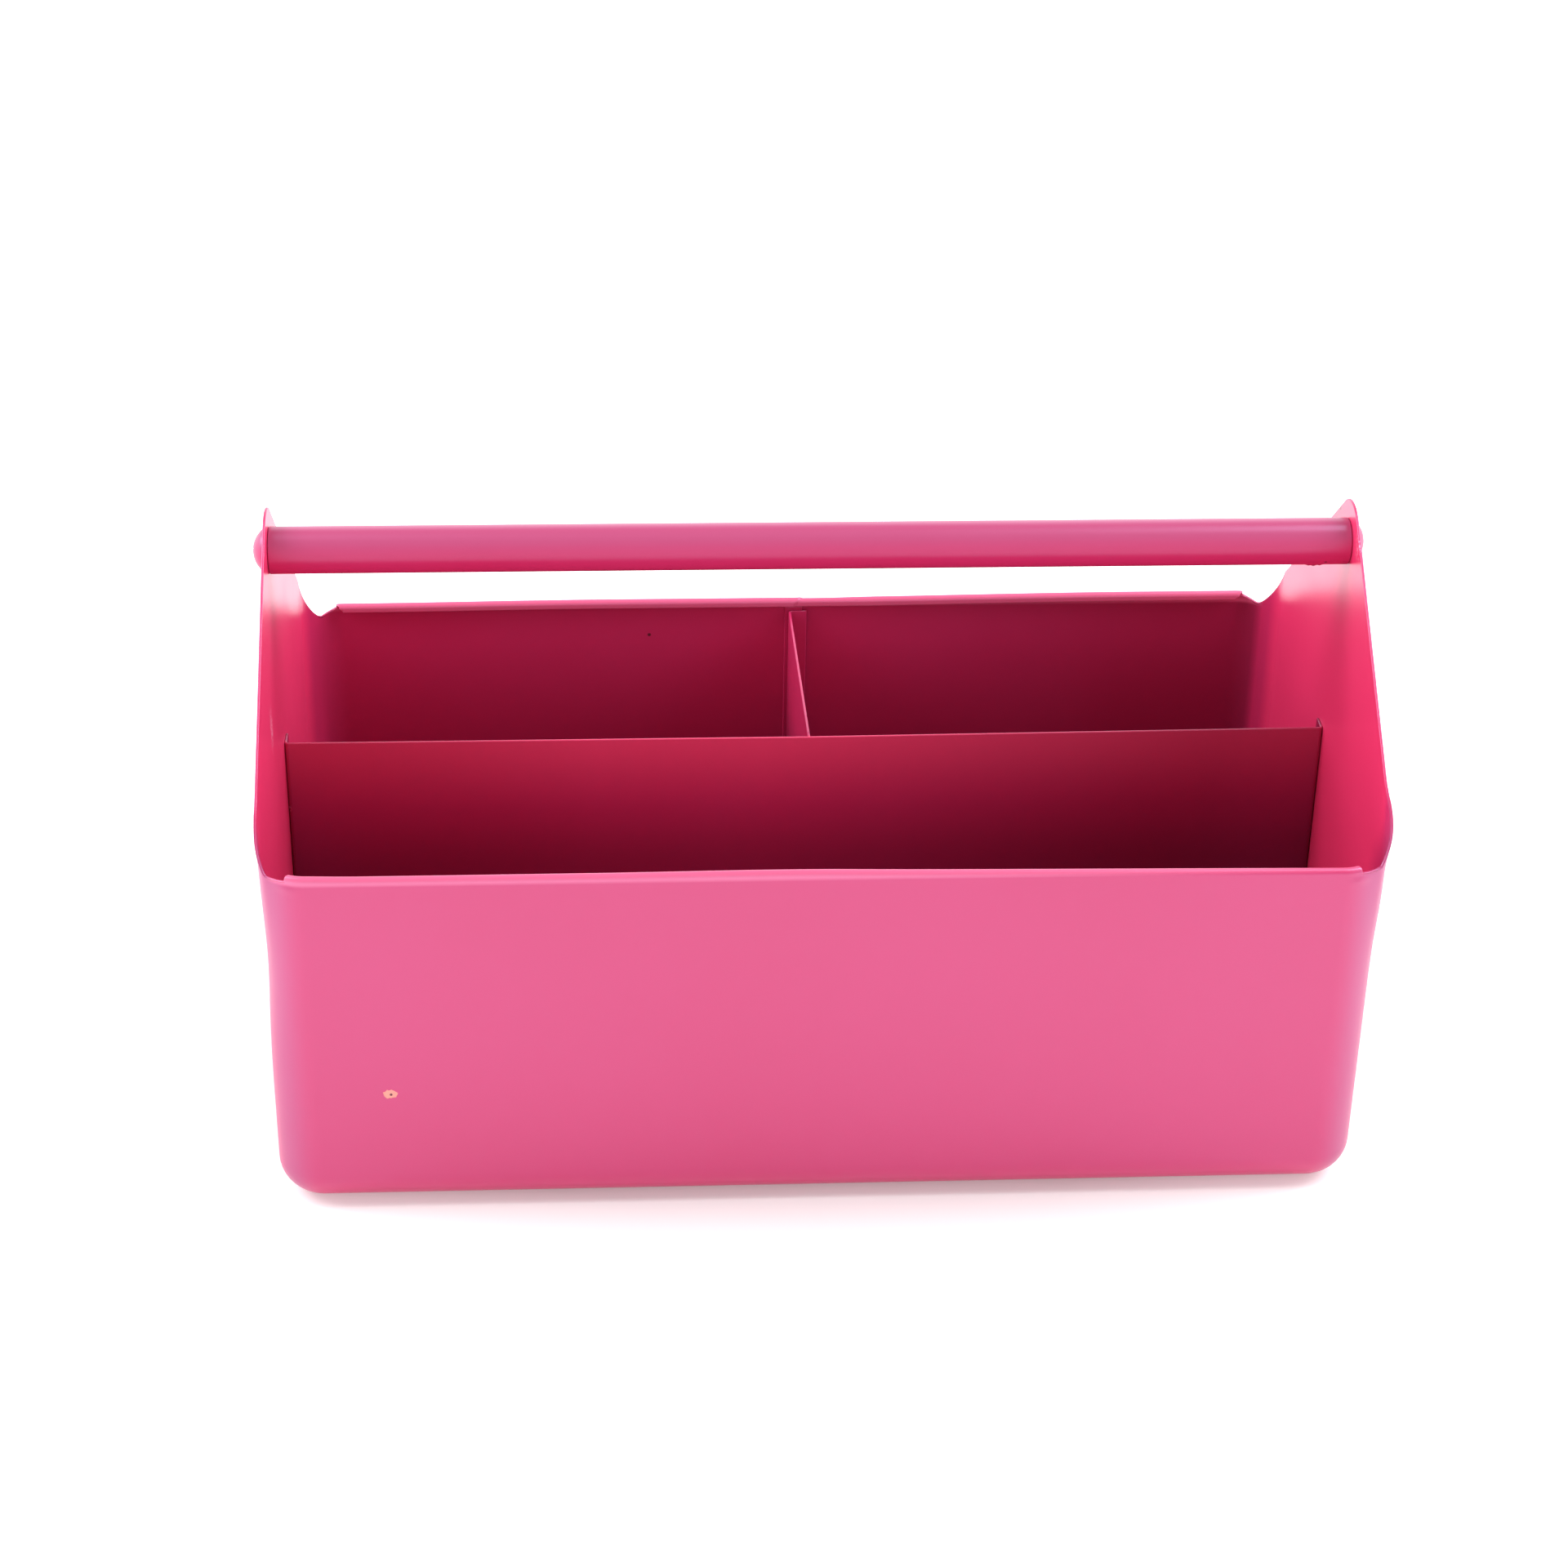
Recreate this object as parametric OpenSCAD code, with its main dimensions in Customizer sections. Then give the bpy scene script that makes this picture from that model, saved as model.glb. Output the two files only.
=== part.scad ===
// Sheet-steel caddy: one wrap-around wall with gabled ends, a floor plate, two dividers and a tube handle.
// Millimetres, +Z up, +X to the right along the length, -Y to the front.
// The origin is the centre of the footprint, on the resting face.

/* [Tub] */
// Outside length over the two gables
tub_len = 368; // [330:1:400]
// Outside depth over the front and rear walls
tub_dep = 202; // [186:1:216]
// Height of the rolled rims of the front and rear walls
rim_h = 130.5; // [120:0.5:136]
// Outside radius of the four upright corners
corner_r = 16; // [15:0.5:18]
// Outside radius of the bottom edge
edge_r = 13; // [11:0.5:14]
// Thickness of every sheet
sheet = 0.9; // [0.8:0.1:1.0]
// Width of the flange turned in under the floor
floor_flange_w = 14; // [10:1:20]

/* [Rolled rims] */
// Outside radius of the rolled hem
hem_r = 1.6; // [1.5:0.1:2.0]
// Length of the straight lip below the roll
hem_lip = 1.6; // [1:0.1:2.2]
// Angle that the front hem follows round each corner, in degrees
front_hem_wrap = 24; // [18:1:26]
// Angle that the rear hem follows round each corner, in degrees
rear_hem_wrap = 12; // [8:1:16]

/* [Gables] */
// Height of the handle's axis above the resting face
handle_h = 198.5; // [190:0.5:204]
// Radius of the rounded gable tips, about the handle's axis
tip_r = 14.4; // [13:0.2:17]
// Slope of the gable edges from the horizontal, in degrees
gable_slope = 39.7; // [38:0.1:41]
// Place of the notch between gable and hem, in degrees round the corner
notch_turn = 55; // [50:1:60]
// Depth of the front notches below the rim
front_notch_drop = 2; // [1.8:0.1:3]
// Depth of the rear notches below the rim
rear_notch_drop = 4.4; // [3.6:0.1:4.8]
// Foot of the slope above the front notches, in degrees round the corner
front_knee_turn = 37; // [34:1:40]
// Foot of the slope above the rear notches, in degrees round the corner
rear_knee_turn = 50; // [46:1:50]

/* [Rear seam] */
// Width of the lap where the wall's two ends meet
lap_w = 6.6; // [6:0.2:8]
// Offset of the lap's middle from the middle of the wall
lap_x = 0.2; // [-0.4:0.1:0.4]

/* [Dividers] */
// Distance of the long divider's middle behind the tub's middle
divider_y = 4.5; // [-6:0.5:8]
// Height of the long divider's top edge
divider_h = 122.4; // [110:0.2:124]
// Height of the cross divider's top edge at the rear wall
cross_rear_h = 125.8; // [124:0.2:126]
// Offset of the cross divider's plate from the middle
cross_x = -0.4; // [-0.6:0.1:0]
// Width of the upright flanges of both dividers
side_flange_w = 6; // [5:0.5:8]
// Width of the foot flanges on the floor
foot_flange_w = 10; // [8:1:14]
// Outside radius of the dividers' bends
bend_r = 1.6; // [1.4:0.1:2]

/* [Handle] */
// Outside diameter of the grip tube
tube_d = 16; // [15:0.5:18]
// Wall of the grip tube
tube_wall = 1.2; // [1:0.1:1.5]
// Length of the threaded plug in each tube end
plug_len = 14; // [10:1:20]
// Gap between each tube end and its gable, so that the handle turns
end_gap = 0.15; // [0.1:0.05:0.3]

/* [Screws] */
// Nominal diameter of the handle screws
screw_d = 6; // [5:0.5:6]
// Diameter of the screw head
head_d = 14.6; // [13:0.2:16]
// Height of the domed screw head
head_h = 4.4; // [3.6:0.1:4.8]
// Height of the head's upright edge, below the dome
head_edge_h = 0.9; // [0.6:0.1:1.4]
// Width of the arms of the cross recess
recess_w = 1.3; // [1:0.1:1.6]
// Span of the cross recess
recess_span = 6.4; // [5:0.2:7]
// Depth of the cross recess
recess_depth = 2; // [1:0.1:2.4]

/* [Hidden] */
$fn = 96;

pink = [0.90, 0.30, 0.53];
zinc = [0.75, 0.75, 0.78];

half_len = tub_len / 2;
half_dep = tub_dep / 2;
// Half lengths of the straight stretches between the corner bends
flat_x = half_len - corner_r;
flat_y = half_dep - corner_r;

hem_axis_h = rim_h - hem_r;
front_notch_h = rim_h - front_notch_drop;
rear_notch_h = rim_h - rear_notch_drop;
gable_top = handle_h + tip_r;
// Height at which the sloping gable edge reaches the start of the corner bend
apex_h = handle_h + tip_r / cos(gable_slope);
shoulder_h = apex_h - flat_y * tan(gable_slope);
front_knee_y = flat_y + corner_r * sin(front_knee_turn);
rear_knee_y = flat_y + corner_r * sin(rear_knee_turn);
notch_x = flat_x + corner_r * cos(notch_turn);

// Radial room for the screw to turn in the gable's hole
hole_gap = 0.05;
// Screw thread engaged in the plug
thread_len = 11;
// Height above the floor at which a divider's side edge meets the curve of the bottom edge
curve_h = edge_r + 2;
// Room between a divider's foot corner and the curve of the bottom edge
foot_room = 1.5;
floor_top = 2 * sheet;
// How far cutting outlines run past the solids that they cut
over = 1;

// ---------- wall ----------

// Cross-section of the wall: x is the distance outward from the corner bend's centre, y is the height
module wall_section(top) {
    translate([corner_r - sheet, edge_r]) square([sheet, top - edge_r]);
    intersection() {
        translate([corner_r - edge_r, edge_r]) difference() {
            circle(edge_r);
            circle(edge_r - sheet);
        }
        translate([corner_r - edge_r, 0]) square([edge_r, edge_r]);
    }
}

// Cross-section of the hem: a half roll over the top of the wall, and a lip on its inner side
module hem_section() {
    translate([corner_r - hem_r, hem_axis_h]) difference() {
        circle(hem_r);
        circle(hem_r - sheet);
        translate([-2 * hem_r, -2 * hem_r]) square([4 * hem_r, 2 * hem_r]);
    }
    translate([corner_r - 2 * hem_r, hem_axis_h - hem_lip]) square([sheet, hem_lip]);
}

// A straight stretch along X on the rear wall
module rear_stretch(length) {
    translate([-length / 2, flat_y, 0]) rotate([90, 0, 90]) linear_extrude(length) children();
}

// A straight stretch along Y on the right end
module right_stretch(length) {
    translate([flat_x, length / 2, 0]) rotate([90, 0, 0]) linear_extrude(length) children();
}

// Part of the rear right corner bend, starting from the gable
module bend_from_gable(turn) {
    translate([flat_x, flat_y, 0]) rotate_extrude(angle = turn) children();
}

// Part of the same bend, starting from the rear wall
module bend_from_rear(turn) {
    translate([flat_x, flat_y, 0]) rotate([0, 0, 90]) mirror([0, 1, 0])
        rotate_extrude(angle = turn) children();
}

// Outline of one end panel with its share of the two corner bends, seen along X
module gable_outline() {
    // Below the shoulder the edge runs straight down to the knee, then level through the notch
    out_y = half_dep + over;
    tip_y = tip_r * sin(gable_slope);
    tip_h = handle_h + tip_r * cos(gable_slope);
    translate([0, handle_h]) circle(tip_r);
    polygon([[-out_y, -over], [out_y, -over], [out_y, rear_notch_h], [rear_knee_y, rear_notch_h],
             [flat_y, shoulder_h], [tip_y, tip_h], [-tip_y, tip_h], [-flat_y, shoulder_h],
             [-front_knee_y, front_notch_h], [-out_y, front_notch_h]]);
}

// The right end panel with the gable's side of both right corner bends
module right_end() {
    difference() {
        intersection() {
            union() {
                right_stretch(2 * flat_y) wall_section(gable_top + over);
                for (side = [0, 1]) mirror([0, side, 0])
                    bend_from_gable(notch_turn) wall_section(shoulder_h + over);
            }
            rotate([90, 0, 90]) linear_extrude(half_len + over) gable_outline();
        }
        translate([half_len - 2 * sheet, 0, handle_h]) rotate([0, 90, 0])
            cylinder(d = screw_d + 2 * hole_gap, h = 3 * sheet);
    }
}

// Outline of a long wall with its share of the corner bends, seen along Y
module long_wall_outline(hem_end_x, notch_h) {
    polygon([[-half_len, -over], [half_len, -over], [half_len, notch_h], [notch_x, notch_h],
             [hem_end_x, hem_axis_h], [hem_end_x, rim_h], [-hem_end_x, rim_h], [-hem_end_x, hem_axis_h],
             [-notch_x, notch_h], [-half_len, notch_h]]);
}

// The rear wall with its side of both rear corner bends, and its hem with mitred ends
module rear_side(hem_wrap, notch_h) {
    hem_end_x = flat_x + corner_r * sin(hem_wrap);
    intersection() {
        union() {
            rear_stretch(2 * flat_x) wall_section(hem_axis_h);
            for (side = [0, 1]) mirror([side, 0, 0])
                bend_from_rear(90 - notch_turn) wall_section(hem_axis_h);
        }
        translate([0, half_dep + over, 0]) rotate([90, 0, 0]) linear_extrude(half_dep)
            long_wall_outline(hem_end_x, notch_h);
    }
    difference() {
        union() {
            rear_stretch(2 * flat_x) hem_section();
            for (side = [0, 1]) mirror([side, 0, 0]) bend_from_rear(hem_wrap) hem_section();
        }
        for (side = [0, 1]) mirror([side, 0, 0])
            translate([hem_end_x, half_dep - hem_r, hem_axis_h]) rotate([0, 45, 0])
                translate([0, -2 * corner_r, -4 * hem_lip])
                    cube([4 * hem_lip, 2 * corner_r + hem_r - sheet, 8 * hem_lip]);
    }
}

// Flange turned in under the floor, with the floor's opening inside it
module turned_flange() {
    linear_extrude(sheet) difference() {
        floor_outline(0);
        floor_outline(floor_flange_w);
    }
}

// The flat part of the bottom, inset all round
module floor_outline(inset) {
    inner_r = corner_r - edge_r;
    x = half_len - edge_r - inset;
    y = half_dep - edge_r - inset;
    square([2 * (x - inner_r), 2 * y], center = true);
    square([2 * x, 2 * (y - inner_r)], center = true);
    for (sx = [-1, 1], sy = [-1, 1]) translate([sx * (x - inner_r), sy * (y - inner_r)]) circle(inner_r);
}

module tub_wall() {
    color(pink) {
        for (side = [0, 1]) mirror([side, 0, 0]) right_end();
        rear_side(rear_hem_wrap, rear_notch_h);
        mirror([0, 1, 0]) rear_side(front_hem_wrap, front_notch_h);
        turned_flange();
        // Inner layer of the lap seam
        translate([lap_x - lap_w / 2, half_dep - 2 * sheet, edge_r])
            cube([lap_w, sheet, hem_axis_h - hem_lip - edge_r]);
    }
}

module floor_plate() {
    color(pink) translate([0, 0, sheet]) linear_extrude(sheet) floor_outline(0);
}

// ---------- dividers ----------

// Quarter bend of a sheet in plan, in the quadrant of +X and -Y about the bend's centre
module plan_bend() {
    intersection() {
        difference() {
            circle(bend_r);
            circle(bend_r - sheet);
        }
        translate([0, -bend_r]) square(bend_r);
    }
}

// Outline of a divider's sheet, seen face on: foot corners cut to clear the rounded bottom edge
module sheet_outline(half_w, cut_w, top) {
    polygon([[-half_w, curve_h], [-cut_w, floor_top], [cut_w, floor_top], [half_w, curve_h],
             [half_w, top], [-half_w, top]]);
}

module long_divider() {
    end_x = half_len - sheet;
    back_y = divider_y + sheet / 2;
    bend_x = end_x - bend_r;
    cut_x = half_len - edge_r - foot_room;
    color(pink) {
        translate([0, back_y, 0]) rotate([90, 0, 0]) linear_extrude(sheet)
            sheet_outline(bend_x, cut_x, divider_h);
        for (side = [0, 1]) mirror([side, 0, 0]) translate([0, 0, curve_h]) {
            linear_extrude(divider_h - curve_h) {
                translate([bend_x, back_y - sheet + bend_r]) plan_bend();
                translate([end_x - sheet, back_y - sheet + bend_r]) square([sheet, side_flange_w]);
            }
        }
        // Foot flange turned to the rear, in two lengths either side of the cross divider
        for (side = [0, 1]) mirror([side, 0, 0])
            translate([foot_flange_w + 2 * sheet, back_y, floor_top])
                cube([cut_x - foot_flange_w - 4 * sheet, foot_flange_w, sheet]);
    }
}

module cross_divider() {
    front_y = divider_y + sheet / 2;
    rear_y = half_dep - 2 * sheet;
    cut_y = half_dep - edge_r - foot_room;
    color(pink) {
        // Upright plate, its rear foot corner cut to clear the rounded bottom edge
        translate([cross_x - sheet / 2, 0, 0]) rotate([90, 0, 90]) linear_extrude(sheet)
            polygon([[front_y, floor_top], [cut_y, floor_top], [rear_y - bend_r, curve_h],
                     [rear_y - bend_r, cross_rear_h], [front_y, divider_h]]);
        // Rear flange turned to the right
        translate([0, 0, curve_h]) linear_extrude(cross_rear_h - curve_h) {
            translate([cross_x - sheet / 2 + bend_r, rear_y - bend_r]) rotate([0, 0, 180]) plan_bend();
            translate([cross_x - sheet / 2 + bend_r, rear_y - sheet]) square([side_flange_w - bend_r, sheet]);
        }
        // Foot flange turned to the right
        translate([cross_x, front_y, floor_top])
            cube([foot_flange_w, cut_y - front_y, sheet]);
    }
}

// ---------- handle ----------

tube_end_x = half_len - sheet - end_gap;
plug_d = tube_d - 2 * tube_wall;

module along_x(from) {
    translate([from, 0, handle_h]) rotate([0, 90, 0]) children();
}

module handle_tube() {
    color(pink) along_x(-tube_end_x) difference() {
        cylinder(d = tube_d, h = 2 * tube_end_x);
        translate([0, 0, -over]) cylinder(d = plug_d, h = 2 * (tube_end_x + over));
    }
}

module plug() {
    color(zinc) along_x(tube_end_x - plug_len) difference() {
        cylinder(d = plug_d, h = plug_len);
        translate([0, 0, -over]) cylinder(d = screw_d, h = plug_len + 2 * over);
    }
}

// Half section of the domed head: a low dome over an upright edge
module head_section() {
    dome_h = head_h - head_edge_h;
    dome_r = (pow(head_d / 2, 2) + pow(dome_h, 2)) / (2 * dome_h);
    intersection() {
        translate([0, head_h - dome_r]) circle(dome_r);
        square([head_d / 2, head_h]);
    }
}

module screw() {
    color(pink) along_x(half_len + end_gap) difference() {
        union() {
            rotate_extrude() head_section();
            translate([0, 0, -sheet - 2 * end_gap - thread_len])
                cylinder(d = screw_d, h = sheet + 2 * end_gap + thread_len + over);
        }
        for (turn = [0, 90]) rotate([0, 0, turn])
            translate([-recess_span / 2, -recess_w / 2, head_h - recess_depth])
                cube([recess_span, recess_w, recess_depth + over]);
    }
}

module left_plug() mirror([1, 0, 0]) plug();
module right_plug() plug();
module left_screw() mirror([1, 0, 0]) screw();
module right_screw() screw();

tub_wall();
floor_plate();
long_divider();
cross_divider();
handle_tube();
left_plug();
right_plug();
left_screw();
right_screw();
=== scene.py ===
"""Looks of the sheet-steel caddy: bent and hemmed sheet in pink powder coat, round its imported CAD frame.

Shapes are worked out in millimetres in the CAD frame (+X along the length, -Y the front, +Z up) and turned
into metres when a mesh is made.
"""
import math

import bmesh
import bpy
import numpy as np
from mathutils import Matrix, Vector


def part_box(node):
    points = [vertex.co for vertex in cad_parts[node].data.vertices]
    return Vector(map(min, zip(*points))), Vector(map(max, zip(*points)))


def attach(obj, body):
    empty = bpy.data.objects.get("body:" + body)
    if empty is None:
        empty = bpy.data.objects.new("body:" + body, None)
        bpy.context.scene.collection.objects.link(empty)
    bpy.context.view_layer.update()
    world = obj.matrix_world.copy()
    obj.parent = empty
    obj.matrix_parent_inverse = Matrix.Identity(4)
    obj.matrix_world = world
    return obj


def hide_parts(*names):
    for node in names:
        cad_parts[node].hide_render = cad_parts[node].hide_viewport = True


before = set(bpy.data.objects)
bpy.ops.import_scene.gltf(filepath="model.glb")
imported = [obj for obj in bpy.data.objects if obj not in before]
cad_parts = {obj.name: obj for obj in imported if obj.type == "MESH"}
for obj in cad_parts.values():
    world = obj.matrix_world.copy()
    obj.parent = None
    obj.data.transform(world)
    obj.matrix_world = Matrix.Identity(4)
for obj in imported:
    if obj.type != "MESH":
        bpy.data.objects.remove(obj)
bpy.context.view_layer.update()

# ---------------------------------------------------------------- dimensions, in millimetres

MM = 0.001


def box_mm(node):
    """Lowest and highest corner of a CAD node."""
    low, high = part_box(node)
    return np.array(low) / MM, np.array(high) / MM


HALF_LEN, HALF_DEP, GABLE_TOP = box_mm("tub_wall")[1]
TUBE_LOW, TUBE_HIGH = box_mm("handle_tube")
AXIS_H = (TUBE_LOW[2] + TUBE_HIGH[2]) / 2
TUBE_R = (TUBE_HIGH[2] - TUBE_LOW[2]) / 2
TUBE_END = TUBE_HIGH[0]
DIVIDER_LOW, DIVIDER_HIGH = box_mm("long_divider")
CROSS_LOW, CROSS_HIGH = box_mm("cross_divider")
FLOOR_HIGH = box_mm("floor_plate")[1]
SCREW_LOW, SCREW_HIGH = box_mm("right_screw")
PLUG_LOW, PLUG_HIGH = box_mm("right_plug")
PLUG_R = (PLUG_HIGH[2] - PLUG_LOW[2]) / 2

SHEET = 0.9
CORNER_R = 16.0
EDGE_R = 13.0
RIM_H = 130.5
HEM_R = 1.6
HEM_LIP = 1.6
FRONT_HEM_WRAP = 24.0  # degrees of corner bend that the front hem follows
REAR_HEM_WRAP = 12.0
GABLE_SLOPE = math.radians(39.7)
NOTCH_TURN = 55.0  # degrees of corner bend from gable to notch
FRONT_NOTCH_DROP = 2.0
REAR_NOTCH_DROP = 4.4
FRONT_KNEE_TURN = 38.0  # degrees of corner bend from gable to the foot of the slope above a front notch
REAR_KNEE_TURN = 52.0
FLOOR_FLANGE = 14.0
LAP_LEFT, LAP_RIGHT = -3.1, 3.5
SIDE_FLANGE = 6.0
FOOT_FLANGE = 10.0
BEND_R = 1.6
SCREW_R = 3.0
HOLE_R = 3.05
HEAD_H = 4.4
HEAD_EDGE_H = 0.9

TIP_R = GABLE_TOP - AXIS_H
FLAT_X = HALF_LEN - CORNER_R
FLAT_Y = HALF_DEP - CORNER_R
HEM_AXIS_H = RIM_H - HEM_R
SHOULDER_H = AXIS_H + TIP_R / math.cos(GABLE_SLOPE) - FLAT_Y * math.tan(GABLE_SLOPE)
CURVE_H = EDGE_R + 2

# ---------------------------------------------------------------- small helpers


def lerp(a, b, t):
    return a + (b - a) * t


def smooth(low, high, x):
    """0 below low, 1 above high, and an even S between."""
    t = np.clip((x - low) / (high - low), 0, 1)
    return t * t * (3 - 2 * t)


def hill(x, middle, width):
    """A bell of height 1."""
    return np.exp(-(((x - middle) / width) ** 2))


def steps(start, end, pitch):
    """Values from start up to, but not including, end, at about this pitch."""
    count = max(1, round(abs(end - start) / pitch))
    return list(np.linspace(start, end, count, endpoint=False))


# How far large faces outweigh small ones in the shading, where 50 is neutral
NORMAL_WEIGHT = 80


def new_object(name, vertices, faces, material, body, replaces):
    """Makes a smooth-shaded piece from points in millimetres, ties it to its CAD body and hides the CAD nodes
    it replaces.
    """
    mesh = bpy.data.meshes.new(name)
    mesh.from_pydata([tuple(MM * c for c in v) for v in vertices], [], faces)
    mesh.validate()
    piece = bpy.data.objects.new(name, mesh)
    bpy.context.scene.collection.objects.link(piece)
    for polygon in mesh.polygons:
        polygon.use_smooth = True
    normals = piece.modifiers.new("flat faces stay flat", "WEIGHTED_NORMAL")
    normals.weight = NORMAL_WEIGHT
    mesh.materials.append(material)
    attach(piece, body)
    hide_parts(*replaces)
    return piece


CUT_EDGE_DEPTH = 0.31
# Section of a cut and coated sheet edge: (part of the thickness, millimetres outward)
CUT_EDGE = [
    (0.0, 0.0),
    (0.06, 0.15),
    (0.22, 0.27),
    (0.5, CUT_EDGE_DEPTH),
    (0.78, 0.27),
    (0.94, 0.15),
    (1.0, 0.0),
]
# Furthest that a corner of a sheet moves, as a multiple of what its edges move
CORNER_MOVE = 1.5


class Sheet:
    """Vertices and faces of bent sheet metal. Several stretches may be added to one piece."""

    def __init__(self):
        self.vertices = []
        self.faces = []

    def add(self, points, normals, used=None, closed=False):
        """Adds one stretch, from a grid of points on its outer face with their outward normals.

        The grid is [column, row], with the outer face seen when columns run right and rows run up. used marks
        the cells that exist, and closed joins the last column to the first. The free edges are rounded.
        """
        columns, rows = points.shape[:2]
        if used is None:
            used = np.ones((columns, rows - 1), bool)
        quads = []
        for i in range(columns if closed else columns - 1):
            j = (i + 1) % columns
            for r in np.flatnonzero(used[i]):
                quads.append((i * rows + r, j * rows + r, j * rows + r + 1, i * rows + r + 1))
        outer = points.reshape(-1, 3).copy()
        normal = normals.reshape(-1, 3)
        directed = {(q[k], q[(k + 1) % 4]) for q in quads for k in range(4)}
        border = [(a, b) for a, b in directed if (b, a) not in directed]
        outward = {}
        for a, b in border:
            run = outer[b] - outer[a]
            way = np.cross(run / max(np.linalg.norm(run), 1e-9), (normal[a] + normal[b]) / 2)
            for v in (a, b):
                outward.setdefault(v, []).append(way)
        for v, ways in outward.items():
            total = np.sum(ways, axis=0)
            size = np.linalg.norm(total)
            # A corner's vertex moves further, so that both of its edges stay in place
            outward[v] = total / size * min(CORNER_MOVE, len(ways) / max(size, 1e-9))
            outer[v] -= outward[v] * CUT_EDGE_DEPTH
        start = len(self.vertices)
        count = len(outer)
        kept = sorted({v for q in quads for v in q})
        index = {v: start + k for k, v in enumerate(kept)}
        inner_index = {v: start + len(kept) + k for k, v in enumerate(kept)}
        self.vertices += [outer[v] for v in kept]
        self.vertices += [outer[v] - normal[v] * SHEET for v in kept]
        self.faces += [tuple(index[v] for v in q) for q in quads]
        self.faces += [tuple(inner_index[v] for v in reversed(q)) for q in quads]
        rings = {}
        for v, way in outward.items():
            ring = [index[v]]
            for part, out in CUT_EDGE[1:-1]:
                ring.append(len(self.vertices))
                self.vertices.append(outer[v] - normal[v] * SHEET * part + way * out)
            rings[v] = ring + [inner_index[v]]
        for a, b in border:
            for k in range(len(CUT_EDGE) - 1):
                self.faces.append((rings[b][k], rings[a][k], rings[a][k + 1], rings[b][k + 1]))

    def piece(self, name, material, body, slot, replaces):
        """Makes the sheet into a piece."""
        return new_object(name, self.vertices, self.faces, material, body, replaces)


# ---------------------------------------------------------------- materials


class Graph:
    """Short ways to add nodes to a node tree. Each value is a number, a colour or another node's socket."""

    def __init__(self, tree):
        self.nodes, self.links = tree.nodes, tree.links

    def plug(self, value, socket):
        if isinstance(value, bpy.types.NodeSocket):
            self.links.new(value, socket)
        else:
            socket.default_value = value

    def math(self, operation, *values):
        node = self.nodes.new("ShaderNodeMath")
        node.operation = operation
        for socket, value in zip(node.inputs, values, strict=False):
            self.plug(value, socket)
        return node.outputs[0]

    def ramp(self, value, low, high, to_low=0.0, to_high=1.0, even=False):
        """Maps low..high to to_low..to_high, held at both ends, with an even S between where asked."""
        node = self.nodes.new("ShaderNodeMapRange")
        node.interpolation_type = "SMOOTHSTEP" if even else "LINEAR"
        for socket, setting in zip(node.inputs, (value, low, high, to_low, to_high), strict=False):
            self.plug(setting, socket)
        return node.outputs[0]

    def mix(self, kind, fraction, a, b):
        node = self.nodes.new("ShaderNodeMix")
        node.data_type = kind
        places = {"FLOAT": (0, 2, 3), "RGBA": (0, 6, 7)}[kind]
        for place, value in zip(places, (fraction, a, b), strict=True):
            self.plug(value, node.inputs[place])
        return node.outputs[{"FLOAT": 0, "RGBA": 2}[kind]]

    def mix_colour(self, fraction, a, b):
        return self.mix("RGBA", fraction, a, b)

    def mix_value(self, fraction, a, b):
        return self.mix("FLOAT", fraction, a, b)

    def grey(self, value):
        node = self.nodes.new("ShaderNodeCombineColor")
        for socket in node.inputs[:3]:
            self.links.new(value, socket)
        return node.outputs[0]


class Shader(Graph):
    """A node material on the principled shader, with object coordinates in millimetres to paint by."""

    def __init__(self, name):
        self.material = bpy.data.materials.new(name)
        self.material.use_nodes = True
        super().__init__(self.material.node_tree)
        self.surface = self.nodes["Principled BSDF"]
        place = self.nodes.new("ShaderNodeTexCoord")
        scale = self.nodes.new("ShaderNodeVectorMath")
        scale.operation = "SCALE"
        scale.inputs["Scale"].default_value = 1 / MM
        self.links.new(place.outputs["Object"], scale.inputs[0])
        self.place = scale.outputs[0]

    def noise(self, wavelength, detail, roughness=0.5):
        """Noise of about this wavelength in millimetres, from 0 to 1."""
        node = self.nodes.new("ShaderNodeTexNoise")
        node.inputs["Scale"].default_value = 1 / wavelength
        node.inputs["Detail"].default_value = detail
        node.inputs["Roughness"].default_value = roughness
        self.links.new(self.place, node.inputs["Vector"])
        return node.outputs["Fac"]

    def axes(self):
        """The three coordinates of the place, in millimetres."""
        parts = self.nodes.new("ShaderNodeSeparateXYZ")
        self.links.new(self.place, parts.inputs[0])
        return parts.outputs[0], parts.outputs[1], parts.outputs[2]

    def between(self, value, start, full, fade, end):
        """1 from full to fade, falling to 0 at start and end."""
        return self.math("MULTIPLY", self.ramp(value, start, full), self.ramp(value, fade, end, 1, 0))

    def distance(self, point, squash=(1, 1, 1)):
        """Distance in millimetres from a point, with each axis stretched by its own factor."""
        shift = self.nodes.new("ShaderNodeVectorMath")
        shift.operation = "SUBTRACT"
        shift.inputs[1].default_value = point
        self.links.new(self.place, shift.inputs[0])
        stretch = self.nodes.new("ShaderNodeVectorMath")
        stretch.operation = "MULTIPLY"
        stretch.inputs[1].default_value = squash
        self.links.new(shift.outputs[0], stretch.inputs[0])
        length = self.nodes.new("ShaderNodeVectorMath")
        length.operation = "LENGTH"
        self.links.new(stretch.outputs[0], length.inputs[0])
        return length.outputs["Value"]

    def bump(self, height, depth, below=None):
        """Adds bump: height from 0 to 1 stands for this depth in millimetres."""
        node = self.nodes.new("ShaderNodeBump")
        node.inputs["Strength"].default_value = 1.0
        node.inputs["Distance"].default_value = depth * MM
        self.links.new(height, node.inputs["Height"])
        if below:
            self.links.new(below, node.inputs["Normal"])
        return node.outputs[0]

    def set(self, **values):
        """Sets or links the shader's own sockets, by names with _ for a space."""
        for name, value in values.items():
            self.plug(value, self.surface.inputs[name.replace("_", " ")])


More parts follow.
